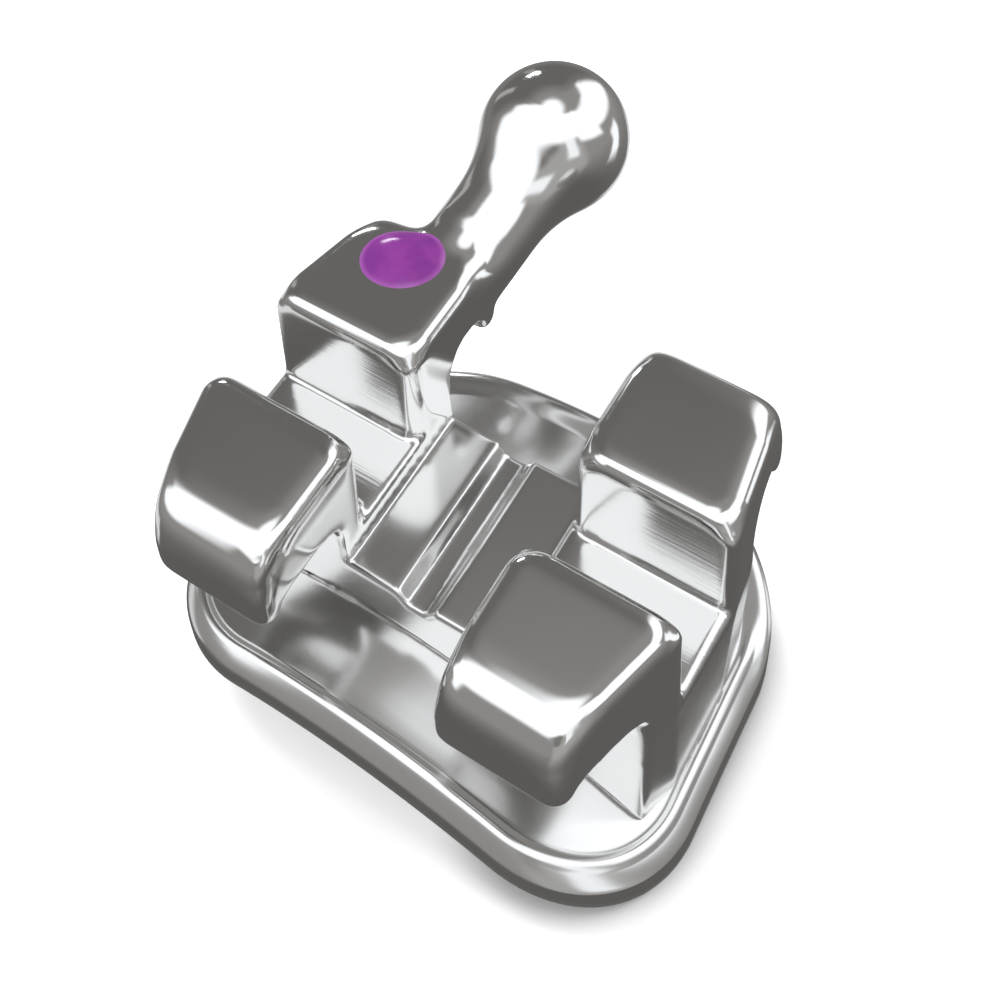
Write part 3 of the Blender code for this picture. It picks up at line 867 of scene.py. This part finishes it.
def pocket_field():
    """A flat face with the pad's outline, inset by the roll and the plain margin."""
    mesh = bpy.data.meshes.new("pocket_field")
    points = [(x, y, 0.0) for x, y in pad_outline(POCKET_MARGIN)]
    mesh.from_pydata(points, [], [list(range(len(points)))])
    return shown("pocket_field", mesh)


def with_pockets(piece, field):
    """Run the tree on the plate and return the result as a plain mesh."""
    settings = {"Field": field, "Rows": POCKET_ROWS, "Pitch": POCKET_PITCH, "Size": POCKET_SIZE,
                "Depth": POCKET_DEPTH, "Lean": -math.tan(LONG_AXIS_TILT), "Finish": PAD_STEEL}
    nodes = piece.modifiers.new("adhesive pockets", "NODES")
    nodes.node_group = POCKET_TREE
    for item in POCKET_TREE.interface.items_tree:
        if item.item_type == "SOCKET" and item.in_out == "INPUT" and item.name in settings:
            nodes[item.identifier] = settings[item.name]
    mesh = applied(piece, "bonding_pad")
    bpy.data.objects.remove(field, do_unlink=True)
    return mesh


pad_mesh = with_pockets(plate, pocket_field())
print("pad has", len(pad_mesh.polygons), "faces with its pockets")

# %% Finish the pad
PAD_SHARP_ANGLE = math.radians(38)
pad = finished_piece("bonding_pad", pad_mesh, PAD_STEEL, "base_pad")
pad.data.set_sharp_from_angle(angle=PAD_SHARP_ANGLE)

# %% [markdown]
# ## The marking dot
# The drop is laid on the wing by hand, so it follows the tumbled top: thick in the middle, thin at
# the rim and slightly higher than the steel around it. Its outline is a circle from above. Every
# point is dropped on the finished body from above and then raised by the thickness of the drop
# at its distance from the middle, so the drop can neither float nor sink at the wing's rounding.

# %% Lay the drop
DROP_THICKNESS = 0.040
# The higher this power, the fuller the drop stays towards its rim
DROP_FULLNESS = 2.6
# The drop's closed underside lies this deep in the steel
DROP_SINK = 0.03
DROP_RINGS = 14
DROP_POINTS = 72
DROP_SHARP_ANGLE = math.radians(50)
OVER_EVERYTHING = 5.0


def drop_mesh():
    """The drop in millimetres: rings of points from the middle out, laid on the finished body."""
    steel_under = BVHTree.FromObject(body, bpy.context.evaluated_depsgraph_get())

    def laid(radius, angle, lift):
        x = DOT_CENTRE[0] + radius * math.cos(angle)
        y = DOT_CENTRE[1] + radius * math.sin(angle)
        hit = steel_under.ray_cast(Vector((x, y, OVER_EVERYTHING)) * MM, Vector((0.0, 0.0, -1.0)))[0]
        return (x, y, hit.z / MM + lift)

    bm = bmesh.new()
    middle = bm.verts.new(laid(0.0, 0.0, DROP_THICKNESS))
    rings = []
    for step in range(1, DROP_RINGS + 2):
        share = min(step / DROP_RINGS, 1.0)
        lift = DROP_THICKNESS * (1 - share ** DROP_FULLNESS) if step <= DROP_RINGS else -DROP_SINK
        angles = [2 * math.pi * i / DROP_POINTS for i in range(DROP_POINTS)]
        rings.append([bm.verts.new(laid(DOT_RADIUS * share, angle, lift)) for angle in angles])
    for a, b in zip(rings[0], rings[0][1:] + rings[0][:1]):
        bm.faces.new((middle, a, b))
    for inner, outer in zip(rings, rings[1:]):
        for a, b, c, d in zip(inner, outer, outer[1:] + outer[:1], inner[1:] + inner[:1]):
            bm.faces.new((a, b, c, d))
    bm.faces.new(rings[-1])
    bmesh.ops.recalc_face_normals(bm, faces=bm.faces)
    mesh = bpy.data.meshes.new("marking_dot")
    bm.to_mesh(mesh)
    bm.free()
    return mesh


dot = finished_piece("marking_dot", drop_mesh(), ENAMEL, "id_dot")
dot.data.set_sharp_from_angle(angle=DROP_SHARP_ANGLE)

# %% [markdown]
# ## Studio tent
# A polished part can't be lit by lamps alone: between their reflections it would look black. So a
# photographer builds a tent of white cloth around it and leaves gaps where dark edges are wanted.
# Here the tent is a dome that only reflections see. Each light patch on it is a soft panel, given
# by its direction as seen from the slot floor, and each was placed by following a reflection in
# the photograph back along the part's own surface. The gaps between the panels draw the wings'
# dark tops and the dark edges. One shared node group makes every panel, with named inputs.

# %% Studio tent
# Each panel: azimuth, elevation, half width, half height in degrees, slope, softness, brightness
STUDIO_PANELS = {
    "far dark wall": (142, 27, 42, 31, 0.0, 13, 0.15),
    "slim window far left": (137, 17, 2.5, 12, 0.0, 2, 0.35),
    "slim window far right": (160, 12, 3, 12, 0.0, 2, 0.45),
    "right side wall": (-30, 22, 30, 32, 0.0, 8, 0.42),
    "right side dark corner": (-52, 38, 8, 12, 0.0, 6, 0.2),
    "right side window": (-20, 25, 9, 14, 0.0, 4, 1.1),
    "low window": (57, -3, 8, 8, 0.0, 3, 1.2),
    "card behind": (155, -15, 60, 5, 0.0, 2, 0.8),
    "overhead bank": (-80, 66, 92, 28, 0.0, 5, 1.3),
    "overhead centre": (0, 90, 200, 15, 0.0, 5, 1.3),
    "left bank": (-145, 32, 22, 16, 0.0, 5, 1.25),
    "right bank near": (18, 47, 20, 25, -0.4, 4, 1.3),
    "right bank far": (65, 33, 33, 18, -0.35, 4, 1.3),
    "small lamp": (138, 21, 4.5, 2.2, 0.0, 1, 11.0),
}
TENT_RADIUS = 20 * MM
# Elevations between which the bare cloth gets lighter, and how bright it is there
BARE_CLOTH = (-25.0, 5.0, 0.12, 0.30)
# Dim light is a little warm and bright light a little cool
WARM_TO_COOL = (0.1, 1.0)
WARM = (1.0, 0.975, 0.94, 1.0)
COOL = (0.97, 0.99, 1.02, 1.0)
OVER_FLOOR = 0.01 * MM
print(len(STUDIO_PANELS), "soft panels in the tent")


def soft_panel_group():
    """A mask that is 1 on a panel of the tent and fades over its soft edge."""
    group, entry, result = new_group(
        "soft panel",
        [("Azimuth", "NodeSocketFloat", 0.0), ("Elevation", "NodeSocketFloat", 0.0),
         ("Centre azimuth", "NodeSocketFloat", 0.0), ("Centre elevation", "NodeSocketFloat", 0.0),
         ("Half width", "NodeSocketFloat", 10.0), ("Half height", "NodeSocketFloat", 10.0),
         ("Slope", "NodeSocketFloat", 0.0), ("Softness", "NodeSocketFloat", 4.0)],
        [("Mask", "NodeSocketFloat")])
    given = entry.outputs
    turn = maths(group, "SUBTRACT", given["Azimuth"], given["Centre azimuth"])
    turn = maths(group, "WRAP", turn, 180.0, -180.0)
    lift = maths(group, "SUBTRACT", given["Elevation"], given["Centre elevation"])
    lift = maths(group, "SUBTRACT", lift, maths(group, "MULTIPLY", turn, given["Slope"]))
    masks = []
    for value, half in ((turn, given["Half width"]), (lift, given["Half height"])):
        inner = maths(group, "SUBTRACT", half, given["Softness"])
        outer = maths(group, "ADD", half, given["Softness"])
        masks.append(ramp(group, maths(group, "ABSOLUTE", value), outer, inner))
    feed(group, result.inputs["Mask"], maths(group, "MULTIPLY", *masks))
    return group


def tent_material():
    """Light cloth with every panel painted on it."""
    panel_group = soft_panel_group()
    material = bpy.data.materials.new("studio tent")
    material.use_nodes = True
    tree = material.node_tree
    tree.nodes.clear()
    place = place_node(tree, "ShaderNodeTexCoord")
    split = place_node(tree, "ShaderNodeSeparateXYZ")
    tree.links.new(place.outputs["Object"], split.inputs[0])
    azimuth = maths(tree, "DEGREES", maths(tree, "ARCTAN2", split.outputs["Y"], split.outputs["X"]))
    across = maths(tree, "POWER", split.outputs["X"], 2.0)
    across = maths(tree, "SQRT", maths(tree, "ADD", across, maths(tree, "POWER", split.outputs["Y"], 2.0)))
    elevation = maths(tree, "DEGREES", maths(tree, "ARCTAN2", split.outputs["Z"], across))
    level = ramp(tree, elevation, *BARE_CLOTH)
    for name, (az, el, half_az, half_el, slope, softness, brightness) in STUDIO_PANELS.items():
        panel = use_group(tree, panel_group, Azimuth=azimuth, Elevation=elevation, Centre_azimuth=float(az),
                          Centre_elevation=float(el), Half_width=float(half_az), Half_height=float(half_el),
                          Slope=slope, Softness=float(softness))
        panel.label = name
        level = mixed(tree, panel.outputs["Mask"], level, brightness)
    glow = place_node(tree, "ShaderNodeEmission")
    tree.links.new(blend_colours(tree, ramp(tree, level, *WARM_TO_COOL), WARM, COOL), glow.inputs["Color"])
    tree.links.new(level, glow.inputs["Strength"])
    out = place_node(tree, "ShaderNodeOutputMaterial")
    tree.links.new(glow.outputs[0], out.inputs["Surface"])
    return material


def make_tent():
    """A dome closed by a flat base just over the floor, seen by glossy rays only."""
    bm = bmesh.new()
    bmesh.ops.create_uvsphere(bm, u_segments=64, v_segments=32, radius=TENT_RADIUS)
    base_z = cad_low.z - SLOT_FLOOR_Z + OVER_FLOOR
    for vert in bm.verts:
        if vert.co.z < base_z:
            vert.co.z = base_z
    mesh = bpy.data.meshes.new("studio_tent")
    bm.to_mesh(mesh)
    bm.free()
    mesh.materials.append(tent_material())
    tent = bpy.data.objects.new("studio_tent", mesh)
    tent.location.z = SLOT_FLOOR_Z
    bpy.context.scene.collection.objects.link(tent)
    tent.visible_camera = False
    tent.visible_diffuse = False
    tent.visible_transmission = False
    tent.visible_volume_scatter = False
    tent.visible_shadow = False
    tent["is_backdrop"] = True
    return tent


tent = make_tent()
print("tent is", round(TENT_RADIUS / MM), "mm in radius")

# %% [markdown]
# ## World and floor
# The picture has a pure white background and a narrow soft shadow along the pad. The world is
# white wherever the camera or a reflection looks at it, and a little dimmer as a light. The floor
# is white card. The camera sees it lifted to full white in the open, and this lift fades close to
# the part, where the card is shaded, so that only the narrow contact shadow is left. One broad
# lamp gives the shadow its side, and it stays out of the reflections.

# %% World and floor
WHITE = (1.0, 1.0, 1.0, 1.0)
WORLD_LIGHT = 0.8
FLOOR_SIZE = 400 * MM
FLOOR_COLOUR = (0.93, 0.93, 0.93, 1.0)
FLOOR_LIFT = 0.45
SHADOW_REACH = 0.4 * MM
# Openness to the sky between which the floor's lift comes in
IN_THE_OPEN = (0.55, 0.92)
KEY_STRENGTH = 1.3
KEY_WIDTH = math.radians(25)
KEY_FROM = Vector((-1.0, 0.25, 1.6))


def make_world():
    """White to the camera and to reflections, a little dimmer as a light."""
    world = bpy.data.worlds.new("studio")
    bpy.context.scene.world = world
    world.use_nodes = True
    tree = world.node_tree
    tree.nodes.clear()
    path = place_node(tree, "ShaderNodeLightPath")
    seen = maths(tree, "MAXIMUM", path.outputs["Is Camera Ray"], path.outputs["Is Glossy Ray"])
    seen = maths(tree, "MAXIMUM", seen, path.outputs["Is Transmission Ray"])
    light = place_node(tree, "ShaderNodeBackground", label="light on the object")
    light.inputs["Color"].default_value = WHITE
    light.inputs["Strength"].default_value = WORLD_LIGHT
    white = place_node(tree, "ShaderNodeBackground", label="white background")
    white.inputs["Color"].default_value = WHITE
    white.inputs["Strength"].default_value = 1.0
    both = place_node(tree, "ShaderNodeMixShader")
    tree.links.new(seen, both.inputs["Fac"])
    tree.links.new(light.outputs[0], both.inputs[1])
    tree.links.new(white.outputs[0], both.inputs[2])
    out = place_node(tree, "ShaderNodeOutputWorld")
    tree.links.new(both.outputs[0], out.inputs["Surface"])


def make_floor():
    """White card under the part, lifted to full white where nothing shades it."""
    bm = bmesh.new()
    bmesh.ops.create_grid(bm, x_segments=1, y_segments=1, size=FLOOR_SIZE / 2)
    mesh = bpy.data.meshes.new("floor")
    bm.to_mesh(mesh)
    bm.free()
    material = bpy.data.materials.new("white floor")
    material.use_nodes = True
    shader = material.node_tree.nodes["Principled BSDF"]
    shader.inputs["Base Color"].default_value = FLOOR_COLOUR
    shader.inputs["Roughness"].default_value = 1.0
    shader.inputs["Specular IOR Level"].default_value = 0.0
    tree = material.node_tree
    seen = place_node(tree, "ShaderNodeLightPath").outputs["Is Camera Ray"]
    openness = place_node(tree, "ShaderNodeAmbientOcclusion")
    openness.inputs["Distance"].default_value = SHADOW_REACH
    in_the_open = ramp(tree, openness.outputs["AO"], *IN_THE_OPEN)
    lift = maths(tree, "MULTIPLY", maths(tree, "MULTIPLY", seen, in_the_open), FLOOR_LIFT)
    shader.inputs["Emission Color"].default_value = WHITE
    feed(tree, shader.inputs["Emission Strength"], lift)
    mesh.materials.append(material)
    floor = bpy.data.objects.new("floor", mesh)
    floor.location.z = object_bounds()[0].z
    bpy.context.scene.collection.objects.link(floor)
    floor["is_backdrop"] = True
    return floor


def make_key():
    """One broad lamp from the mesial side, kept out of the reflections."""
    data = bpy.data.lights.new("key", "SUN")
    data.energy = KEY_STRENGTH
    data.angle = KEY_WIDTH
    key = bpy.data.objects.new("key", data)
    key.rotation_euler = KEY_FROM.to_track_quat("Z", "Y").to_euler()
    key.visible_glossy = False
    bpy.context.scene.collection.objects.link(key)


make_world()
floor = make_floor()
make_key()
print("floor lies at", round(floor.location.z / MM, 3), "mm, the level of the pad's lowest corner")

# %% [markdown]
# ## Settings
# The plain view transform keeps a white of 1 white, as in the photograph.

# %% Settings
bpy.context.scene.view_settings.view_transform = "Standard"
print("view transform:", bpy.context.scene.view_settings.view_transform)
